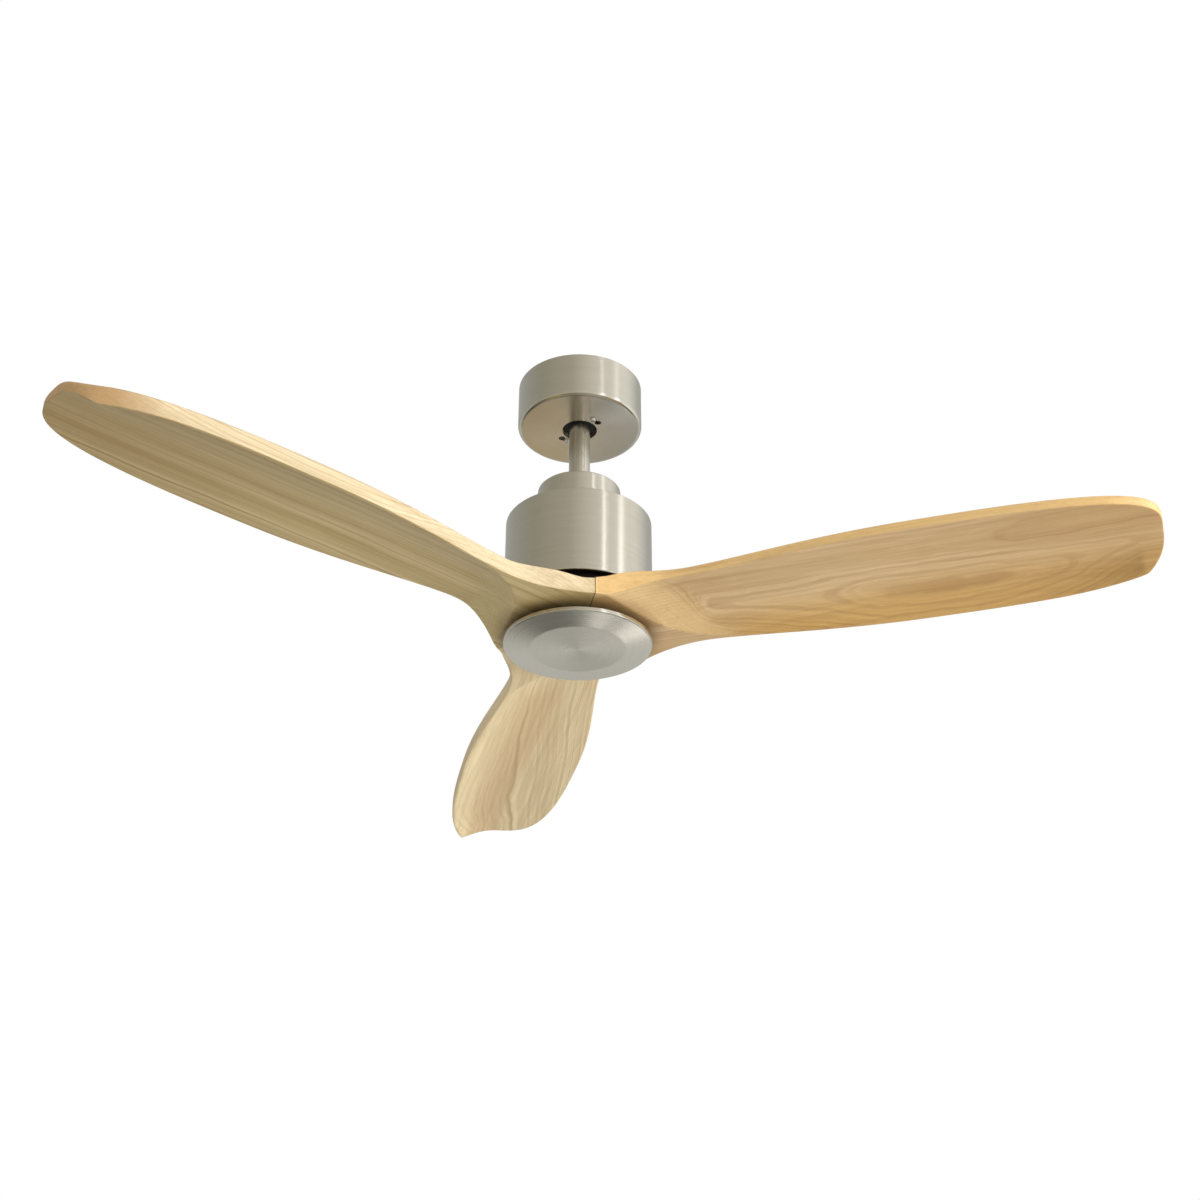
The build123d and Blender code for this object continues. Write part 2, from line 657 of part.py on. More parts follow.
def hollow(u, v):
    """Height of the carved underside; it passes below the flat root where the wood isn't carved."""
    s = (chord(u, v) - 0.04) / 0.96
    across = 1 - (1 - clamp(s)) ** 4 if s > 0 else 4 * max(s, -0.1)
    along = sin(pi / 2 * clamp((u - scoop_edge(min(v, 85.0))) / 64.0, -0.4))
    k = 12.0
    both = -log((exp(-k * across) + exp(-k * along)) / 2) / k
    rise = trail_bottom - trail_droop * u - lower_plane(u)
    return lower_plane(u) + rise * both


def back(u, v):
    """Height of the upper face: flat over the hub, then rising to the trailing edge."""
    s = chord(u, v)
    lead_top = lower_plane(u) + hub_thickness
    rise = trail_top - trail_droop * u - lead_top
    away = sin(pi / 2 * clamp((u - 49) / 50)) * smooth((hypot(u, v) - 88) / 14)
    return lead_top + rise * smooth(s / 0.5) * away


carve_us = [10, 45, 60, 72, 82, 90, 98, 106, 114, 124, 136, 150, 170, 200, 240, 290, 350, 420, 490, 550, 600,
            635, 660, 680]
carve_half = 96.0


def carving(height, far):
    """Solid between a height function over the blade and a far level, lofted through sections across it."""
    with BuildPart() as block:
        for u in carve_us:
            with BuildSketch(Plane.YZ.offset(u)):
                with BuildLine():
                    edge = Spline(*[(carve_half * (1 - j / 8), height(u, carve_half * (1 - j / 8)))
                                    for j in range(17)])
                    Polyline(edge @ 1, (-carve_half, far), (carve_half, far), edge @ 0)
                make_face()
        loft(ruled=True)
    return block.part


underside = carving(hollow, -430)
upper_side = carving(back, -280)
half_share = pi / blade_count
seam_u = seam_radius * cos(half_share) + seam_gap * sin(half_share)
seam_v = seam_radius * sin(half_share) - seam_gap * cos(half_share)
edge_us = [seam_u + 10, 80, 105, 145, 195, 250, 320, 400, 480, 550, 595, 625, 641, 650, 655, 657.4]


def blade(name, angle):
    """One carved blade with its third of the hub."""
    with BuildPart() as wood:
        with BuildSketch(Plane.XY.offset(lead_bottom - 20)):
            with BuildLine():
                Spline((seam_u, seam_v), *[(u, half_width(u)) for u in edge_us], (sweep_radius, 0),
                       *[(u, -half_width(u)) for u in reversed(edge_us)], (seam_u, -seam_v))
                Polyline((seam_u, -seam_v), (seam_gap / sin(half_share), 0), (seam_u, seam_v))
            make_face()
        extrude(amount=80)
        with Locations((0, 0, lead_bottom)):
            Cylinder(hub_hole_radius, 200, mode=Mode.SUBTRACT)
        # flat, slightly drooping underside of the root and of the leading edge
        with BuildSketch(Plane.XZ):
            with BuildLine():
                Polyline((0, lower_plane(0)), (sweep_radius + 20, lower_plane(sweep_radius + 20)),
                         (sweep_radius + 20, -400), (0, -400), close=True)
            make_face()
        extrude(amount=150, both=True, mode=Mode.SUBTRACT)
        add(underside, mode=Mode.SUBTRACT)
        add(upper_side, mode=Mode.SUBTRACT)
        for u, v in blade_screw_spots:
            with Locations((u, v, lead_bottom)):
                Cylinder(3.3, 100, mode=Mode.SUBTRACT)
    wood.part = wood.part.rotate(Axis.Z, angle)
    finish(wood, name)


for number in range(blade_count):
    blade(f"blade_{number + 1}", first_blade_angle - 120 * number)

# screws and washers that hold the blades up against the blade plate
blade_points = []
for number in range(blade_count):
    turn = first_blade_angle + 360 * number / blade_count
    for u, v in blade_screw_spots:
        blade_points.append(polar(hypot(u, v), turn + degrees(atan2(v, u))))
washer_sheet = 1.2
washer_top = lower_plane(70) - 0.05

with BuildPart() as blade_washers:
    for x, y, _ in blade_points:
        with BuildSketch(Plane((x, y, washer_top))) as washer:
            Circle(7)
            Circle(2.9, mode=Mode.SUBTRACT)
        extrude(washer.sketch, amount=-washer_sheet)
finish(blade_washers, "blade_washers")

with BuildPart() as blade_screws:
    screw(5.0, 3.0, 2.45, 26, washer_top - washer_sheet, blade_points)
    cross_recess(blade_points, washer_top - washer_sheet - 3.0, 1.8, 1.1, 5)
finish(blade_screws, "blade_screws")
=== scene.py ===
import json
import math
from types import SimpleNamespace

import bpy
import numpy as np
from mathutils import Matrix, Vector


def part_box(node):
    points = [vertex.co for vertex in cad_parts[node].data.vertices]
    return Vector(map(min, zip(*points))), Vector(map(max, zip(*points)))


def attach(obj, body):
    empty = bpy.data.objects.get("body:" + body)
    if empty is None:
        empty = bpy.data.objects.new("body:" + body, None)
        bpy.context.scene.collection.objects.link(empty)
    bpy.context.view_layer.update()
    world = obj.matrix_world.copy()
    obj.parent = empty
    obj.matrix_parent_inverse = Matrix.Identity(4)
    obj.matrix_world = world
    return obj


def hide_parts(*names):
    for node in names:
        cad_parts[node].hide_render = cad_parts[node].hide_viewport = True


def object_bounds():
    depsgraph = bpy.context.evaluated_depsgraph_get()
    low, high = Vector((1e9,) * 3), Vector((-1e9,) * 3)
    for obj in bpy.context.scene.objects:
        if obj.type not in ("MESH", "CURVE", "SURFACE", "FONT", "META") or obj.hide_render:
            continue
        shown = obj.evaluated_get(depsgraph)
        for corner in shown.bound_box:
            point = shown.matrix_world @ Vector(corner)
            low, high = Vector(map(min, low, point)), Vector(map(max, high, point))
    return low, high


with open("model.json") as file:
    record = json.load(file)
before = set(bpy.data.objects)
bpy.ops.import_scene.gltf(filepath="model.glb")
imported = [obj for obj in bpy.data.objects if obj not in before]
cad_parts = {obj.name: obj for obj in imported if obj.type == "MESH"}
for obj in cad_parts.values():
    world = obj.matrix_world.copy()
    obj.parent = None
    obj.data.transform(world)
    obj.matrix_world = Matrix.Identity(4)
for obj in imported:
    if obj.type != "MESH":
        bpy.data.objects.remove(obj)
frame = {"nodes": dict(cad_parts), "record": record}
cad_low, cad_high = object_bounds()
scene = bpy.context.scene

MM = 0.001

# ---------------------------------------------------------------- camera: below the fan, looking up
CAMERA_PLACE = (0.0104, -1.7551, -1.3038)
CAMERA_PITCH = math.radians(29.70)
CAMERA_YAW = math.radians(-0.50)
CAMERA_ROLL = math.radians(0.125)
CAMERA_LENS = 51.58
CAMERA_SENSOR = 36.0
CAMERA_REACH = 50.0


def make_camera():
    data = bpy.data.cameras.new("camera")
    data.lens = CAMERA_LENS
    data.sensor_width = CAMERA_SENSOR
    data.clip_end = CAMERA_REACH
    camera = bpy.data.objects.new("camera", data)
    scene.collection.objects.link(camera)
    level = Vector((math.cos(CAMERA_YAW), math.sin(CAMERA_YAW), 0))
    ahead = Vector((-math.sin(CAMERA_YAW), math.cos(CAMERA_YAW), 0))
    forward = ahead * math.cos(CAMERA_PITCH) + Vector((0, 0, math.sin(CAMERA_PITCH)))
    upward = level.cross(forward)
    right = level * math.cos(CAMERA_ROLL) + upward * math.sin(CAMERA_ROLL)
    up = upward * math.cos(CAMERA_ROLL) - level * math.sin(CAMERA_ROLL)
    turn = Matrix((right, up, -forward)).transposed().to_4x4()
    camera.matrix_world = Matrix.Translation(CAMERA_PLACE) @ turn
    scene.camera = camera


# ---------------------------------------------------------------- node trees
def grey(value):
    return (value, value, value)


def rgba(colour):
    return (*colour, 1.0)


def toned(colour, factor):
    return tuple(min(1.0, c * factor) for c in colour)


class Tree:
    """Short calls for building a node tree. Each returns an output socket."""

    def __init__(self, tree):
        self.tree = tree

    def put(self, socket, value):
        if isinstance(value, bpy.types.NodeSocket):
            self.tree.links.new(value, socket)
        else:
            socket.default_value = value

    def put_all(self, node, *values):
        for socket, value in zip(node.inputs, values):
            self.put(socket, value)
        return node.outputs

    def node(self, kind, out=0, settings=None, **inputs):
        made = self.tree.nodes.new(kind)
        for key, value in (settings or {}).items():
            setattr(made, key, value)
        for key, value in inputs.items():
            self.put(made.inputs[key.replace("_", " ")], value)
        return made.outputs[out]

    def math(self, operation, *values):
        made = self.tree.nodes.new("ShaderNodeMath")
        made.operation = operation
        return self.put_all(made, *values)[0]

    def add(self, a, b):
        return self.math("ADD", a, b)

    def minus(self, a, b):
        return self.math("SUBTRACT", a, b)

    def times(self, a, b):
        return self.math("MULTIPLY", a, b)

    def length(self, a, b):
        return self.math("SQRT", self.add(self.times(a, a), self.times(b, b)))

    def average(self, a, b):
        return self.add(self.times(a, 0.5), self.times(b, 0.5))

    def vector(self, operation, a, b):
        made = self.tree.nodes.new("ShaderNodeVectorMath")
        made.operation = operation
        return self.put_all(made, a, b)[0]

    def split(self, vector):
        return self.put_all(self.tree.nodes.new("ShaderNodeSeparateXYZ"), vector)

    def joined(self, x, y, z):
        return self.node("ShaderNodeCombineXYZ", X=x, Y=y, Z=z)

    def between(self, value, low, high, to_low=0.0, to_high=1.0, smooth=False):
        """The value carried from one span to another, held at its ends."""
        settings = {"interpolation_type": "SMOOTHSTEP" if smooth else "LINEAR"}
        return self.node("ShaderNodeMapRange", "Result", settings, Value=value, From_Min=low, From_Max=high,
                         To_Min=to_low, To_Max=to_high)

    def ramp(self, value, *stops):
        made = self.tree.nodes.new("ShaderNodeValToRGB")
        elements = made.color_ramp.elements
        for i, (place, colour) in enumerate(stops):
            element = elements[i] if i < 2 else elements.new(1.0)
            element.position = place
            element.color = rgba(colour)
        return self.put_all(made, value)["Color"]

    def mix(self, fac, a, b, blend="MIX"):
        settings = {"data_type": "RGBA", "blend_type": blend}
        return self.node("ShaderNodeMix", "Result", settings, Factor=fac, A=a, B=b)


class Material(Tree):
    """A material's node tree, round its one principled shader."""

    def __init__(self, name):
        self.material = bpy.data.materials.new(name)
        self.material.use_nodes = True
        super().__init__(self.material.node_tree)
        self.shader = self.tree.nodes["Principled BSDF"]

    def where(self):
        return self.node("ShaderNodeTexCoord", "Object")

    def noise(self, vector, scale, detail=2.0, roughness=0.5):
        return self.node("ShaderNodeTexNoise", Vector=vector, Scale=scale, Detail=detail, Roughness=roughness)

    def bump(self, height, strength, distance):
        return self.node("ShaderNodeBump", "Normal", Height=height, Strength=strength, Distance=distance)

    def finish(self, **inputs):
        for key, value in inputs.items():
            self.put(self.shader.inputs[key.replace("_", " ")], value)
        return self.material


# ---------------------------------------------------------------- studio
FLOOR_DROP = 2.0
FLOOR_SIZE = 12

# name, place, height of the point on the axis it's aimed at, size, power, colour, shows in the metal
LIGHTS = (
    ("key", (-1.4, -2.6, 1.0), -0.3, (2.0, 2.0), 46, (1.0, 0.97, 0.93), False),
    ("side", (2.4, -1.4, 0.2), -0.3, (1.6, 1.6), 48, (1.0, 0.97, 0.94), False),
    ("low_right", (2.6, -0.9, -1.1), -0.3, (1.0, 1.0), 42, (1.0, 0.97, 0.92), False),
    ("strip_front", (1.50, -1.88, -0.1), -0.1, (0.09, 2.8), 3.3, (1.0, 1.0, 0.99), True),
    ("strip_right", (2.20, -0.95, -0.1), -0.1, (0.32, 2.8), 4.2, (1.0, 1.0, 0.99), True),
    ("glint_low", (0.21, 1.40, -2.05), -0.3, (0.20, 0.5), 0.75, (1.0, 0.98, 0.94), True),
    ("glint_side", (0.48, 1.66, -1.72), -0.3, (0.24, 0.4), 0.8, (1.0, 0.98, 0.94), True),
)
# stops of the room's light round the fan, from behind through left, front and right to behind
ROOM_ROUND = (
    (0.00, (0.52, 0.52, 0.50)), (0.12, (0.44, 0.45, 0.43)), (0.29, (0.37, 0.36, 0.29)),
    (0.458, (0.49, 0.46, 0.38)), (0.547, (0.72, 0.68, 0.60)), (0.639, (0.84, 0.83, 0.76)),
    (0.772, (1.00, 0.99, 0.92)), (0.883, (0.48, 0.49, 0.47)), (1.00, (0.52, 0.52, 0.50)),
)
# factor on it by height of the direction, from straight down, past a dark band, to straight up
ROOM_HEIGHT = (
    (0.00, (0.80, 0.80, 0.76)), (0.08, (0.60, 0.60, 0.56)), (0.13, (0.04, 0.04, 0.03)),
    (0.17, (0.04, 0.04, 0.03)), (0.215, (0.85, 0.83, 0.80)), (0.27, (1.35, 1.36, 1.34)),
    (0.40, (1.35, 1.35, 1.33)), (0.52, (1.0, 1.0, 1.0)), (1.00, (1.0, 1.0, 1.0)),
)


def area_light(name, place, aim_height, size, power, colour, mirrored):
    data = bpy.data.lights.new(name, "AREA")
    data.shape = "RECTANGLE"
    data.size, data.size_y = size
    data.energy = power
    data.color = colour
    light = bpy.data.objects.new(name, data)
    scene.collection.objects.link(light)
    light.location = place
    aim = Vector((0.0, 0.0, aim_height)) - Vector(place)
    light.rotation_euler = aim.to_track_quat("-Z", "Y").to_euler()
    light.visible_glossy = mirrored


def make_room():
    """White to the camera. To everything else a room: olive at the left, bright at the right."""
    world = bpy.data.worlds.new("studio")
    scene.world = world
    world.use_nodes = True
    world.node_tree.nodes.clear()
    n = Tree(world.node_tree)
    x, y, z = n.split(n.node("ShaderNodeTexCoord", "Generated"))
    around = n.math("ARCTAN2", x, n.times(y, -1.0))
    walls = n.ramp(n.between(around, -math.pi, math.pi), *ROOM_ROUND)
    levels = n.ramp(n.between(z, -1.0, 1.0), *ROOM_HEIGHT)
    room = n.node("ShaderNodeBackground", Color=n.mix(1.0, walls, levels, "MULTIPLY"), Strength=1.0)
    white = n.node("ShaderNodeBackground", Color=rgba(grey(1.0)), Strength=1.0)
    to_camera = n.node("ShaderNodeLightPath", "Is Camera Ray")
    shown = n.put_all(n.tree.nodes.new("ShaderNodeMixShader"), to_camera, room, white)[0]
    n.put_all(n.tree.nodes.new("ShaderNodeOutputWorld"), shown)


def floor_material():
    n = Material("floor")
    cloudy = n.noise(n.where(), 3.0, 3.0)
    colour = n.ramp(cloudy, (0.3, (0.80, 0.79, 0.77)), (0.7, (0.86, 0.85, 0.83)))
    return n.finish(Base_Color=colour, Roughness=0.8)


def make_studio():
    for light in LIGHTS:
        area_light(*light)
    make_room()
    bpy.ops.mesh.primitive_plane_add(size=FLOOR_SIZE, location=(0, 0, cad_low.z - FLOOR_DROP))
    floor = bpy.context.object
    floor.name = "floor"
    floor.visible_glossy = False
    floor.data.materials.append(floor_material())
    scene.view_settings.view_transform = "Standard"


# ---------------------------------------------------------------- finishes
BRUSH_TURN = 0.25             # a quarter turn, so that highlights spread across the brushed rings
SHEETS_PER_METRE = 1800.0
STRANDS_PER_METRE = 1100.0
CELLS_PER_METRE = 160.0


def brushed_metal(name, colour, roughness=0.25, anisotropic=0.8, line_scale=1500.0):
    """Metal brushed round the fan's axis: fine rings on walls and on flat discs alike."""
    n = Material(name)
    x, y, z = n.split(n.where())
    angle = n.math("ARCTAN2", y, x)
    radius = n.length(x, y)

    def rings(round_scale, scale, detail, rough):
        place = n.joined(n.times(angle, round_scale), n.times(radius, scale), n.times(z, scale))
        return n.noise(place, 1.0, detail, rough)

    fine = rings(1.2, line_scale, 3.0, 0.6)
    broad = rings(0.8, line_scale * 0.16, 2.0, 0.5)
    smudges = n.noise(n.where(), 14.0, 3.0)
    tint = n.ramp(n.average(fine, broad), (0.30, toned(colour, 0.96)), (0.70, toned(colour, 1.03)))
    rough = n.add(n.between(fine, 0.3, 0.7, roughness - 0.01, roughness + 0.015),
                  n.between(smudges, 0.35, 0.7, -0.005, 0.015))
    tangent = n.node("ShaderNodeTangent", 0, {"direction_type": "RADIAL", "axis": "Z"})
    return n.finish(Base_Color=tint, Metallic=1.0, Roughness=rough, Anisotropic=anisotropic,
                    Anisotropic_Rotation=BRUSH_TURN, Tangent=tangent, Normal=n.bump(fine, 0.002, 0.00005))


def plain_metal(name, colour, roughness, speckle=260.0, metallic=1.0):
    """Machined or plated metal with a fine mottled finish."""
    n = Material(name)
    place = n.where()
    spots = n.noise(place, speckle, 4.0, 0.65)
    clouds = n.noise(place, speckle * 0.08)
    tint = n.ramp(n.average(spots, clouds), (0.35, toned(colour, 0.75)), (0.65, toned(colour, 1.15)))
    return n.finish(Base_Color=tint, Metallic=metallic,
                    Roughness=n.between(spots, 0.3, 0.7, roughness - 0.08, roughness + 0.12),
                    Normal=n.bump(spots, 0.25, 0.0003))


def painted(name, colour, roughness, grain=700.0, gloss=0.5):
    """Paint, plastic or rubber: a moulded or sprayed surface with fine orange peel."""
    n = Material(name)
    place = n.where()
    peel = n.noise(place, grain, 3.0, 0.6)
    clouds = n.noise(place, 22.0)
    return n.finish(Base_Color=n.ramp(clouds, (0.3, toned(colour, 0.82)), (0.7, toned(colour, 1.2))),
                    Roughness=n.between(peel, 0.3, 0.7, roughness - 0.07, roughness + 0.09),
                    Specular_IOR_Level=gloss, Normal=n.bump(peel, 0.3, 0.0002))


def laminated(name, colour):
    """Stacked electrical steel: thin horizontal sheets."""
    n = Material(name)
    sheets = n.math("FRACT", n.times(n.split(n.where())["Z"], SHEETS_PER_METRE))
    edge = n.between(n.math("ABSOLUTE", n.minus(sheets, 0.5)), 0.3, 0.5)
    tint = n.mix(edge, rgba(colour), rgba(toned(colour, 0.35)))
    return n.finish(Base_Color=tint, Metallic=1.0, Roughness=n.between(edge, 0.0, 1.0, 0.42, 0.65),
                    Normal=n.bump(edge, 0.4, 0.0002))


def wound_copper():
    """Enamelled copper wire wound in layers."""
    n = Material("copper_winding")
    x, y, _ = n.split(n.where())
    strand = n.math("SINE", n.times(n.length(x, y), 2 * math.pi * STRANDS_PER_METRE))
    worn = n.noise(n.where(), 90.0, 3.0)
    tint = n.mix(n.between(strand, -1, 1), (0.22, 0.07, 0.03, 1), (0.72, 0.30, 0.12, 1))
    return n.finish(Base_Color=n.mix(n.between(worn, 0.4, 0.8), tint, (0.5, 0.2, 0.08, 1)), Metallic=0.9,
                    Roughness=0.28, Normal=n.bump(strand, 0.6, 0.0004))


def circuit_board():
    """Green solder mask over copper tracks."""
    n = Material("circuit_board")
    cells = n.node("ShaderNodeTexVoronoi", 0, {"feature": "DISTANCE_TO_EDGE"}, Vector=n.where(),
                   Scale=CELLS_PER_METRE)
    tracks = n.between(cells, 0.05, 0.09, 1.0, 0.0)
    tint = n.mix(tracks, (0.015, 0.13, 0.055, 1), (0.05, 0.27, 0.11, 1))
    return n.finish(Base_Color=tint, Roughness=0.34, Normal=n.bump(tracks, 0.3, 0.0002))


# ---------------------------------------------------------------- ash
# noise scales per metre along, across and through the board
SLOW_WAVES = (2.4, 4.0, 4.0)
RIPPLES = (14.0, 30.0, 30.0)
PATCHES = (4.0, 22.0, 22.0)
STREAKS = (2.2, 110.0, 110.0)
FIBRES = (16.0, 800.0, 800.0)
PORES = (110.0, 2300.0, 2300.0)
SEED_STEP = 1.37              # metres along the board from one seed to the next
# distances from the axis, in metres, over which something fades in or out
# painted shadow: the radius from which the wood darkens in towards the cap
HUB_PAINTED_SHADOW = (0.104, 0.086)
GOLD_STARTS = (0.14, 0.22)
SCOOP_ENDS = (0.24, 0.20)
OUTER_SHADE = (0.34, 0.64)
BURNT_TIP = (0.57, 0.64)
# parts of the unit normal: its size along Z where a face becomes a wall, and outwards where the scoop is
WALL_TILT = (0.80, 0.45)
SCOOP_TILT = (0.08, 0.42)
# how dark one year's ring is, from pale early wood to the line of late wood
YEAR = ((0.0, grey(0.30)), (0.07, grey(0.08)), (0.55, grey(0.12)), (0.82, grey(0.40)), (0.93, grey(1.0)),
        (1.0, grey(0.30)))
BAND_RATE = 0.33              # broad bands and fine threads that follow the rings
THREAD_RATE = 2.6
# the rings as the steep scoop cuts them: a dark line in each step of depth, tilted across the blade
CUTS_PER_METRE = 850.0
CUT_TILT = 0.25
CUT_RING = ((0.0, grey(0.1)), (0.45, grey(0.0)), (0.85, grey(1.0)), (1.0, grey(0.1)))
SCORCH = (0.35, 0.20, 0.08)

# The board of each blade, with lengths in metres in the blade's own frame.
#   pale, middle, dark: wood colours; gold: tint of a part of the width; edge: colour of the walls
#   pith: the tree's centre line, across and up; drift, wave: slant and unrest of the rings round it
#   gold_side: across the blade, where the gold comes in and, if given, where it goes out again
#   calm: across the blade, the span over which the lines change strength, and the two strengths
#   lines: strength of the late wood; shade: darkening towards the tip
#   scoop: strength of the painted highlight on the scoop, of its cut ring lines and of the fading of the
#       other lines there; burnt: scorching of the tip's wall
WOODS = (
    SimpleNamespace(
        seed=1.0, pale=(0.70, 0.51, 0.29), middle=(0.56, 0.38, 0.18), dark=(0.34, 0.18, 0.06),
        gold=(0.64, 0.39, 0.11), edge=(0.64, 0.44, 0.19), ring_gap=0.0020, pith=(-0.030, -0.620),
        drift=0.03, wave=0.6, gold_side=(0.0, 0.06), calm=(-0.04, 0.01, 0.7, 1.0), lines=1.0, shade=0.30,
        scoop=0.9, burnt=0.0),
    SimpleNamespace(
        seed=2.0, pale=(0.60, 0.49, 0.27), middle=(0.49, 0.38, 0.18), dark=(0.26, 0.16, 0.05),
        gold=(0.54, 0.38, 0.16), edge=(0.66, 0.56, 0.40), ring_gap=0.0034, pith=(-0.110, -0.450),
        drift=-0.01, wave=0.6, gold_side=(0.5, 0.6), calm=(-1.0, 1.0, 1.0, 1.0), lines=0.8, shade=0.40,
        scoop=0.8, burnt=0.85),
    SimpleNamespace(
        seed=3.0, pale=(0.81, 0.69, 0.44), middle=(0.75, 0.61, 0.38), dark=(0.40, 0.26, 0.12),
        gold=(0.67, 0.49, 0.28), edge=(0.62, 0.50, 0.32), ring_gap=0.0040, pith=(0.080, -0.480),
        drift=0.12, wave=0.7, gold_side=(-0.025, 0.0, 0.02, 0.05), calm=(0.0, 0.04, 1.0, 0.45), lines=0.9,
        shade=0.0, scoop=0.3, burnt=0.0),
)


class Ash(Material):
    """Ash cut along the grain: growth rings round a pith line below the board, which a carved face cuts as
    contour lines. In the blade's own frame X runs along the blade, Y towards the leading edge, Z up."""

    def __init__(self, name, angle, wood):
        super().__init__(name)
        self.wood = wood
        turned = self.node("ShaderNodeVectorRotate", 0, {"rotation_type": "Z_AXIS"}, Vector=self.where(),
                           Angle=-angle)
        self.x, self.y, self.z = self.split(turned)
        self.place = self.vector("ADD", turned, (wood.seed * SEED_STEP, 0.0, 0.0))
        self.slow = self.three_noises(SLOW_WAVES, 0.45)
        self.quick = self.three_noises(RIPPLES, 0.5)
        self.beside = self.add(self.y, self.wobble(2, 0.05))
        self.find_rings()
        self.find_faces(angle)

    def three_noises(self, scale, roughness):
        noise = self.node("ShaderNodeTexNoise", "Color", Vector=self.vector("MULTIPLY", self.place, scale),
                          Scale=1.0, Detail=2.0, Roughness=roughness)
        return self.put_all(self.tree.nodes.new("ShaderNodeSeparateColor"), noise)

    def grain(self, scale, detail, roughness):
        return self.noise(self.vector("MULTIPLY", self.place, scale), 1.0, detail, roughness)

    def ring_noise(self, rate, roughness):
        return self.node("ShaderNodeTexNoise", 0, {"noise_dimensions": "1D"}, W=self.times(self.ring, rate),
                         Scale=1.0, Detail=2.0, Roughness=roughness)

    def wobble(self, channel, wide, small=0.0):
        return self.add(self.times(self.minus(self.slow[channel], 0.5), wide),
                        self.times(self.minus(self.quick[channel], 0.5), small))

    def find_rings(self):
        pith_y, pith_z = self.wood.pith
        wave = self.wood.wave
        across = self.add(self.minus(self.y, pith_y), self.wobble(0, 0.030 * wave, 0.003 * wave))
        across = self.add(across, self.times(self.x, self.wood.drift))
        self.depth = self.add(self.minus(self.z, pith_z), self.wobble(1, 0.012 * wave, 0.003 * wave))
        self.ring = self.math("DIVIDE", self.length(across, self.depth), self.wood.ring_gap)
        self.phase = self.math("FRACT", self.ring)

    def find_faces(self, angle):
        """Where the walls are, and where the scoop of the underside is."""
        x, y, z = self.split(self.node("ShaderNodeTexCoord", "Normal"))
        self.wall = self.between(self.math("ABSOLUTE", z), *WALL_TILT, smooth=True)
        outwards = self.add(self.times(x, math.cos(angle)), self.times(y, math.sin(angle)))
        scooped = self.times(self.between(outwards, *SCOOP_TILT, smooth=True),
                             self.between(self.x, *SCOOP_ENDS, smooth=True))
        self.scooped = self.times(scooped, self.minus(1.0, self.wall))
        self.uncut = self.between(self.times(self.scooped, self.wood.scoop), 0.0, 1.0, 1.0, 0.4)

    def ground_colour(self):
        """The wood before its lines: bands, golden side, shaded tip, painted highlight on the scoop, and
        walls.
        """
        w = self.wood
        bands = self.between(self.ring_noise(BAND_RATE, 0.5), 0.36, 0.64, smooth=True)
        colour = self.mix(bands, rgba(w.pale), rgba(w.middle))
        golden = self.between(self.beside, *w.gold_side[:2], smooth=True)
        if len(w.gold_side) > 2:
            golden = self.times(golden, self.between(self.beside, *w.gold_side[2:], 1.0, 0.0, smooth=True))
        golden = self.times(golden, self.between(self.x, *GOLD_STARTS, 0.0, 0.8, smooth=True))
        colour = self.mix(golden, colour, rgba(w.gold))
        outward = self.between(self.add(self.x, self.wobble(2, 0.10, 0.01)), *OUTER_SHADE, 0.0, w.shade)
        colour = self.mix(outward, colour, rgba(w.dark))
        # painted highlight: the scoop's outward-facing wall is made paler, as where it faces the light
        scoop_highlight = (w.pale[0] * 1.02, w.pale[1] * 1.05, w.pale[2])
        colour = self.mix(self.times(self.scooped, w.scoop), colour, rgba(scoop_highlight))
        colour = self.mix(self.times(self.wall, 0.8), colour, rgba(w.edge))
        tip = self.between(self.add(self.x, self.wobble(2, 0.06)), *BURNT_TIP, 0.0, w.burnt, smooth=True)
        return self.mix(self.times(self.wall, tip), colour, rgba(SCORCH))

    def inked(self, colour):
        """The ground with the lines of the rings, patchy, fainter on walls and in the scoop."""
        w = self.wood
        patchy = self.between(self.grain(PATCHES, 2.0, 0.5), 0.35, 0.65, 0.55, 1.0)
        ink = self.times(patchy, self.between(self.wall, 0.0, 1.0, 1.0, 0.55))
        ink = self.times(ink, self.between(self.beside, *w.calm))
        ink = self.times(ink, self.uncut)
        year = self.node("ShaderNodeTexWhiteNoise", 0, {"noise_dimensions": "1D"},
                         W=self.math("FLOOR", self.ring))
        strength = self.between(self.math("POWER", year, 3.0), 0.0, 1.0, 0.15, 1.0)
        late_wood = self.times(self.ramp(self.phase, *YEAR), strength)
        colour = self.mix(self.times(self.times(late_wood, w.lines), ink), colour, rgba(w.dark))
        threads = self.between(self.ring_noise(THREAD_RATE, 0.6), 0.42, 0.70, 0.0, 0.60)
        colour = self.mix(self.times(threads, ink), colour, rgba(w.dark))
        cut = self.times(self.minus(self.depth, self.times(self.y, CUT_TILT)), CUTS_PER_METRE)
        cut_rings = self.times(self.ramp(self.math("FRACT", cut), *CUT_RING), self.scooped)
        return self.mix(self.times(cut_rings, 0.85 * w.scoop), colour, rgba(w.dark))

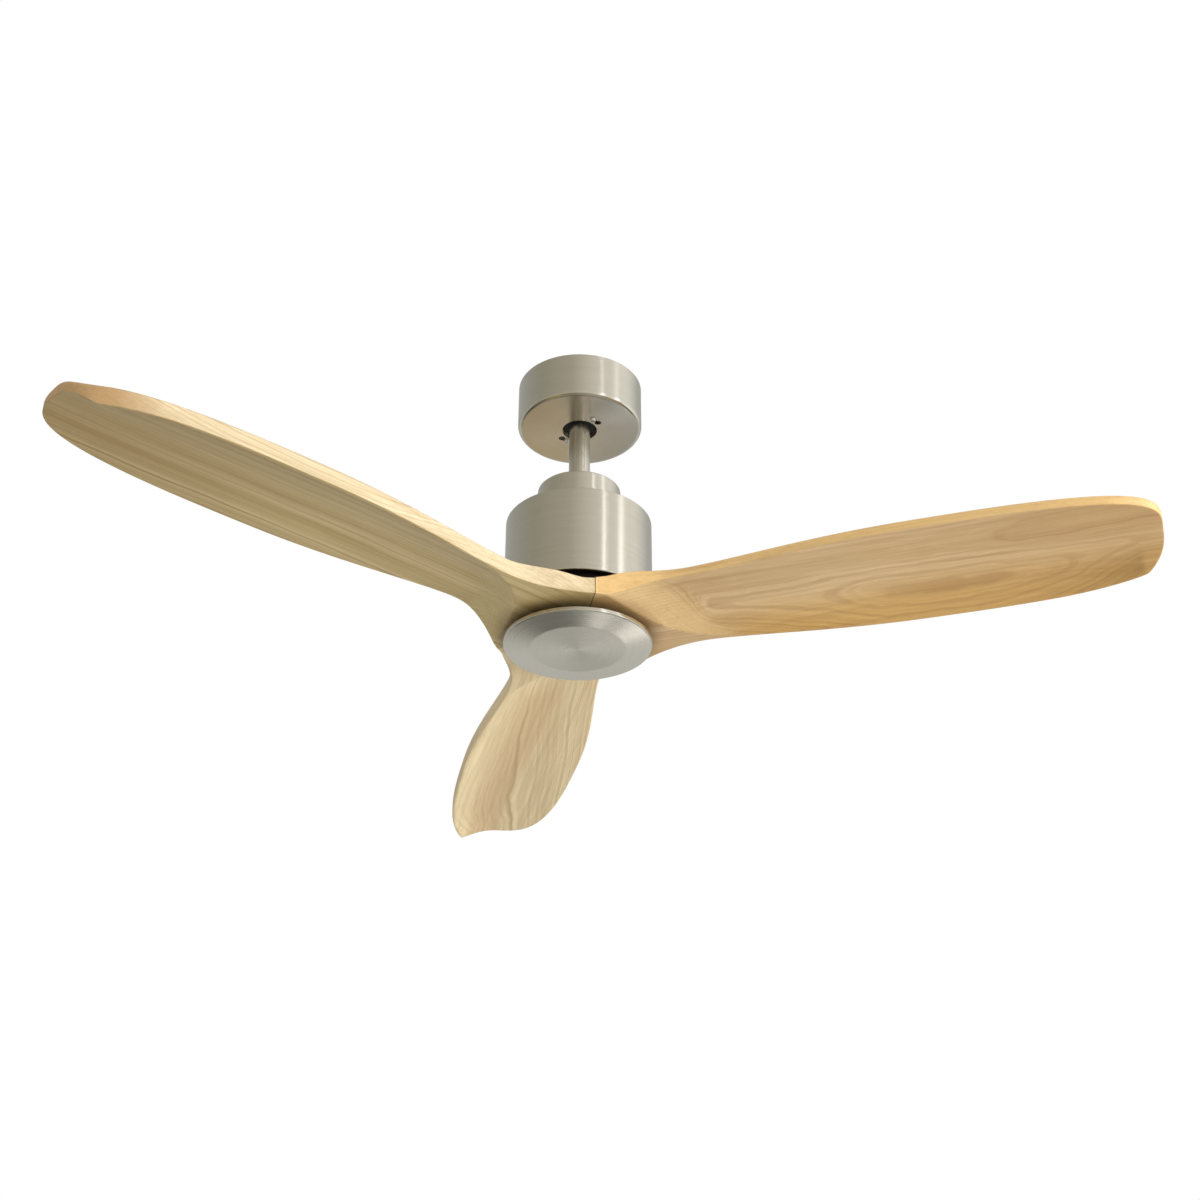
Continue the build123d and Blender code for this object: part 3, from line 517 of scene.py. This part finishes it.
    def finished(self):
        dark = self.wood.dark
        colour = self.inked(self.ground_colour())
        # painted shadow: the wood is darkened round the cap, where the cap's shadow falls
        hub = self.between(self.length(self.x, self.y), *HUB_PAINTED_SHADOW, 0.0, 0.45, smooth=True)
        colour = self.mix(hub, colour, rgba(toned(dark, 0.7)))
        streaks = self.between(self.grain(STREAKS, 3.0, 0.70), 0.42, 0.75, 0.0, 0.42)
        colour = self.mix(self.times(streaks, self.uncut), colour, rgba(dark))
        fibre = self.grain(FIBRES, 3.0, 0.6)
        colour = self.mix(self.between(fibre, 0.40, 0.75, 0.0, 0.24), colour, rgba(dark))
        pores = self.times(self.between(self.grain(PORES, 1.0, 0.5), 0.60, 0.72),
                           self.between(self.phase, 0.0, 0.5, 1.0, 0.15))
        colour = self.mix(self.times(pores, 0.35), colour, rgba(toned(dark, 0.55)))
        relief = self.minus(self.times(fibre, 0.5), self.times(pores, 0.8))
        return self.finish(Base_Color=colour, Roughness=self.between(fibre, 0.3, 0.7, 0.42, 0.54),
                           Coat_Weight=0.15, Coat_Roughness=0.30, Normal=self.bump(relief, 0.08, 0.0003))


# ---------------------------------------------------------------- blades
# The same shape rules as the CAD blade, in mm in the blade's own frame: u along it, v towards the leading
# edge. Sweep and belly are a little smaller, so that the drawn blade stays inside the CAD one.
SWEEP = 657.8
WAIST_U = 145.0               # narrowest place
WAIST_HALF = 56.3
BELLY_U = 400.0               # widest place
BELLY_HALF = 79.4
BELLY_EASE = 0.75
ROOT_FLARE = 31.4
ROOT_LENGTH = 95.0
TIP_POWER = 2.87
TIP_ROOT = 3.56
TIP_HALF = 54.0               # half width that the section keeps round the tip
HUB_THICKNESS = 20.0
HUB_HOLE = 30.0
SEAM_RADIUS = 100.9
SEAM_GAP = 0.40
HALF_SHARE = math.pi / 3      # half of a blade's third of the hub
FIRST_ANGLE = -18.8
BLADE_TURN = 120

TRAIL_TOP_RISE = 14.4         # heights of the trailing edge above the hub's flat top
TRAIL_BOTTOM_RISE = 2.2
EDGE_DROOP = 0.010            # fall of the leading edge per unit of u
TRAIL_DROOP = 0.005
FLAT_SHARE = 0.04             # share of the width left uncarved along the leading edge
SCOOP_LENGTH = 64.0
SCOOP_V = 85.0                # v past which the scoop's edge runs on straight
BLEND = 12.0                  # how sharply the scoop's two slopes meet
CREASE = 0.5                  # how softly the scoop leaves the flat root
ROOT_RISE = (49, 50)          # u where the upper face leaves the flat hub, and over what length
HUB_FLAT = (88, 14)           # radius from which it may do so, and over what length

LEAN = 9.0                    # how far the upper face stands out past the leading edge at the root
LEAN_GROWS = (50, 45)         # start and length in u
LEAN_FADES = (95, 60)
LEAN_WIDTH = 60
INSET = 2.5                   # how far the underside draws in from the leading edge at the tip
INSET_GROWS = (540, 90)
INSET_WIDTH = 40

EDGE_STEPS = (0.0, 0.12, 0.35, 0.75, 1.3, 2.0, 2.9, 4.0, 5.4, 7.2)   # mm in from the outline
EDGE_ROOM = 16.0              # half width from which all of these steps fit
INNER_COLUMNS = 62
WALL_STEPS = 5
HUB_ROWS = 16
ROOT_END = 62.0               # ends of the stations' spans along u, and how many stations each has
SCOOP_END = 262.0
ROOT_ROWS = 8
SCOOP_ROWS = 112
OUTER_ROWS = 150
OUTLINE_SAMPLES = 40001
TIP_LEFT = 0.02               # half width left at the very tip
LOW_ROUNDING = (0.5, 0.8)     # radius of the lower edge, and what a free edge has more of it
HIGH_ROUNDING = (0.6, 2.6)    # the same for the upper edge
LEAD_ROUNDING = 0.8           # what the upper edge has more along the leading side
LEAD_WIDTH = 20
SEAM_ROUNDING = 0.15          # share of a free edge's extra rounding that the seams have
HUB_ROUNDING_GROWS = (0.9, 0.1)   # start and length in the way from the hole to the seams' outer ends
ROUNDING_GROWS = 14.0             # length in u from there
NUDGE = 1e-3
SHARP_ANGLE = 50


def clip01(x):
    return np.clip(x, 0.0, 1.0)


def smooth01(x):
    x = clip01(x)
    return x * x * (3 - 2 * x)


def eased(x, start, length):
    return smooth01((x - start) / length)


def half_width(u):
    """Half the blade's width: flared root, narrow waist, belly, and a blunt round tip."""
    flare = WAIST_HALF + ROOT_FLARE * ((WAIST_U - u) / ROOT_LENGTH) ** 2
    t = clip01((u - WAIST_U) / (BELLY_U - WAIST_U)) ** BELLY_EASE
    belly = WAIST_HALF + (BELLY_HALF - WAIST_HALF) * np.sin(math.pi / 2 * t) ** 2
    x = clip01((u - BELLY_U) / (SWEEP - BELLY_U))
    tip = BELLY_HALF * (1 - x ** TIP_POWER) ** (1 / TIP_ROOT)
    return np.where(u < WAIST_U, flare, np.where(u < BELLY_U, belly, tip))


def half_at(u):
    return float(half_width(np.array([u]))[0])


class BladeShape:
    """Heights of the carved faces, in mm, given the height of the hub's flat top."""

    def __init__(self, hub_top):
        self.lead_bottom = hub_top - HUB_THICKNESS
        self.trail_bottom = hub_top + TRAIL_BOTTOM_RISE
        self.trail_top = hub_top + TRAIL_TOP_RISE

    def plane(self, u):
        return self.lead_bottom - EDGE_DROOP * u

    def chord(self, u, v):
        """0 at the leading edge, 1 at the trailing edge; round the tip the leading edge thins out."""
        half = half_width(u)
        half = np.where(u > BELLY_U, np.maximum(half, TIP_HALF), half)
        return (half - v) / (2 * half)

    def scoop_edge(self, v):
        """The u where the carved hollow of the underside begins, for each v."""
        return 94.3 + 0.388 * v + 7.4 * np.exp((np.minimum(v, SCOOP_V) - 9) / 21.5)

    def under(self, u, v):
        """Height of the underside: flat root and leading edge, and the hollow carved between them."""
        s = (self.chord(u, v) - FLAT_SHARE) / (1 - FLAT_SHARE)
        across = np.where(s > 0, 1 - (1 - clip01(s)) ** 4, 4 * np.maximum(s, -0.1))
        along = np.sin(math.pi / 2 * np.clip((u - self.scoop_edge(v)) / SCOOP_LENGTH, -0.4, 1.0))
        both = -np.log((np.exp(-BLEND * across) + np.exp(-BLEND * along)) / 2) / BLEND
        rise = (self.trail_bottom - TRAIL_DROOP * u - self.plane(u)) * both
        return self.plane(u) + 0.5 * (rise + np.sqrt(rise * rise + CREASE * CREASE))

    def back(self, u, v):
        """Height of the upper face: flat over the hub, then rising to the trailing edge."""
        lead_top = self.plane(u) + HUB_THICKNESS
        rise = self.trail_top - TRAIL_DROOP * u - lead_top
        root = np.sin(math.pi / 2 * clip01((u - ROOT_RISE[0]) / ROOT_RISE[1]))
        away = root * eased(np.hypot(u, v), *HUB_FLAT)
        return lead_top + rise * smooth01(self.chord(u, v) / 0.5) * away


def blade_rows(seam_u):
    """Stations along the blade: fine over the scoop's edge, and even along the outline towards the tip."""
    root = np.linspace(seam_u, ROOT_END, ROOT_ROWS)[1:]
    scoop = np.linspace(ROOT_END, SCOOP_END, SCOOP_ROWS)[1:]
    dense = np.linspace(SCOOP_END, SWEEP, OUTLINE_SAMPLES)
    step = np.hypot(np.diff(dense), np.diff(half_width(dense)))
    run = np.concatenate([[0.0], np.cumsum(step)])
    outer = np.interp(np.linspace(0, run[-1], OUTER_ROWS)[1:], run, dense)
    return np.concatenate([root, scoop, outer])


def side_columns(half):
    """v of the columns across one row, dense beside both edges."""
    steps = np.array(EDGE_STEPS) * min(1.0, half / EDGE_ROOM)
    left = -half + steps
    inner = np.linspace(-half + steps[-1], half - steps[-1], INNER_COLUMNS)[1:-1]
    return np.concatenate([left, inner, -left[::-1]])


def rounding(depth, radius):
    """How far an edge of that radius has dropped at a distance in from the outline."""
    inward = np.minimum(depth, radius)
    return radius - np.sqrt(np.maximum(radius ** 2 - (radius - inward) ** 2, 0.0))


def wall_points(start, end):
    return [start + (end - start) * t for t in np.linspace(0, 1, WALL_STEPS + 2)[1:-1]]


def blade_ring(shape, u, v, depth, rounded):
    """One loop round the blade: underside, leading wall, upper side, trailing wall."""
    lean = LEAN * eased(u, *LEAN_GROWS) * (1 - eased(u, *LEAN_FADES)) * smooth01(v / LEAN_WIDTH)
    inset = INSET * eased(u, *INSET_GROWS) * smooth01(v / INSET_WIDTH)
    low_radius = LOW_ROUNDING[0] + LOW_ROUNDING[1] * rounded
    high_radius = HIGH_ROUNDING[0] + (HIGH_ROUNDING[1] + LEAD_ROUNDING * smooth01(v / LEAD_WIDTH)) * rounded
    low = shape.under(u, v) + rounding(depth, low_radius)
    high = shape.back(u, v + lean) - rounding(depth, high_radius)
    low_points = np.stack([u, v - inset, low], 1)
    high_points = np.stack([u, v + lean, high], 1)
    lead = wall_points(low_points[-1], high_points[-1])
    trail = wall_points(high_points[0], low_points[0])
    return np.concatenate([low_points, lead, high_points[::-1], trail])


def hub_rings(shape, seam_u, seam_v):
    """Rows of the blade's third of the hub, from the round hole to the line between the seams' ends."""
    share = side_columns(seam_v) / seam_v
    angle = share * HALF_SHARE
    gap = SEAM_GAP / math.sin(HALF_SHARE)
    rings = []
    for q in np.linspace(0, 1, HUB_ROWS):
        u = HUB_HOLE * np.cos(angle) * (1 - q) + seam_u * q + gap
        v = HUB_HOLE * np.sin(angle) * (1 - q) + share * seam_v * q
        half = HUB_HOLE * math.sin(HALF_SHARE) * (1 - q) + seam_v * q
        depth = (half - np.abs(v)) * math.sin(HALF_SHARE)
        rounded = np.full_like(u, SEAM_ROUNDING * eased(q, *HUB_ROUNDING_GROWS))
        rings.append(blade_ring(shape, u, v, depth, rounded))
    return rings


def blade_rings(shape, seam_u):
    """Rows of the blade itself, out to the tip."""
    rings = []
    for station in blade_rows(seam_u):
        half = half_at(station)
        v = side_columns(max(half, TIP_LEFT))
        u = np.full_like(v, station)
        slope = (half_at(station + NUDGE) - half) / NUDGE if station < SWEEP - 2 * NUDGE else -1 / NUDGE
        depth = (half - np.abs(v)) / math.hypot(1.0, slope)
        depth = np.minimum(depth, max(SWEEP - station, 0.0))
        rounded = SEAM_ROUNDING + (1 - SEAM_ROUNDING) * eased(station, seam_u, ROUNDING_GROWS)
        rings.append(blade_ring(shape, u, v, depth, np.full_like(u, rounded)))
    return rings


def end_faces(first, columns, flip):
    """Faces that close one end of the blade, whose loop begins at that point."""
    top_start = first + columns + WALL_STEPS
    faces = []
    for j in range(columns - 1):
        high = top_start + (columns - 1 - j)
        faces.append((first + j, first + j + 1, high - 1, high))
    faces.append(tuple(first + columns - 1 + i for i in range(WALL_STEPS + 2)))
    faces.append((*(top_start + columns - 1 + i for i in range(WALL_STEPS + 1)), first))
    return [face[::-1] for face in faces] if flip else faces


def blade_mesh(name, hub_top, heading):
    shape = BladeShape(hub_top)
    seam_u = SEAM_RADIUS * math.cos(HALF_SHARE)
    seam_v = seam_u * math.tan(HALF_SHARE)
    rings = hub_rings(shape, seam_u, seam_v) + blade_rings(shape, seam_u)
    points = np.concatenate(rings) * MM
    along = np.array([math.cos(heading), math.sin(heading)])
    points[:, :2] = points[:, :1] * along + points[:, 1:2] * np.array([-along[1], along[0]])
    count = len(rings[0])
    faces = []
    for a in range(0, count * (len(rings) - 1), count):
        b = a + count
        for j in range(count):
            k = (j + 1) % count
            faces.append((a + j, b + j, b + k, a + k))
    columns = len(side_columns(seam_v))
    faces += end_faces(0, columns, False)
    faces += end_faces((len(rings) - 1) * count, columns, True)
    mesh = bpy.data.meshes.new(name)
    mesh.from_pydata(points.tolist(), [], faces)
    mesh.validate()
    mesh.polygons.foreach_set("use_smooth", [True] * len(mesh.polygons))
    mesh.set_sharp_from_angle(angle=math.radians(SHARP_ANGLE))
    mesh.update()
    return mesh


def make_blades():
    low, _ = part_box("blade_plate")
    hub_top = low.z / MM
    for number, wood in enumerate(WOODS):
        name = f"carved_blade_{number + 1}"
        angle = math.radians(FIRST_ANGLE - BLADE_TURN * number)
        blade = bpy.data.objects.new(name, blade_mesh(name, hub_top, angle))
        scene.collection.objects.link(blade)
        blade.data.materials.append(Ash(f"ash_{number + 1}", angle, wood).finished())
        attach(blade, "rotor")
        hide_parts(f"blade_{number + 1}")


# ---------------------------------------------------------------- finishes of the CAD pieces
NICKEL = (0.66, 0.63, 0.57)


def dress_frame():
    """Gives every CAD piece the finish of its slot; the blades' slot isn't here, as they are drawn anew."""
    cap_nickel = brushed_metal("cap_nickel", NICKEL, roughness=0.26, anisotropic=0.6, line_scale=1200.0)
    finishes = {
        "brushed_nickel": brushed_metal("brushed_nickel", NICKEL),
        "black_steel": painted("black_steel", (0.012, 0.011, 0.010), 0.45, gloss=0.3),
        "black_nylon": painted("black_nylon", (0.006, 0.006, 0.008), 0.30, grain=400.0, gloss=0.15),
        "zinc_steel": plain_metal("zinc_steel", (0.72, 0.71, 0.66), 0.32),
        "bearing_steel": brushed_metal("bearing_steel", (0.70, 0.70, 0.72), roughness=0.18, anisotropic=0.5),
        "cast_aluminium": plain_metal("cast_aluminium", (0.66, 0.66, 0.67), 0.5, speckle=420.0),
        "ferrite": plain_metal("ferrite", (0.10, 0.10, 0.11), 0.5, speckle=500.0, metallic=0.4),
        "white_plastic": painted("white_plastic", (0.80, 0.79, 0.76), 0.45),
        "black_cable": painted("black_cable", (0.02, 0.02, 0.02), 0.5, grain=900.0),
        "lamination_steel": laminated("lamination_steel", (0.30, 0.30, 0.32)),
        "copper_winding": wound_copper(),
        "circuit_board": circuit_board(),
    }
    for entry in frame["record"]["subparts"]:
        slot = entry["material_slot"]
        if slot in finishes:
            materials = frame["nodes"][entry["node"]].data.materials
            materials.clear()
            materials.append(cap_nickel if entry["node"] == "bottom_cap" else finishes[slot])


make_camera()
make_studio()
make_blades()
dress_frame()
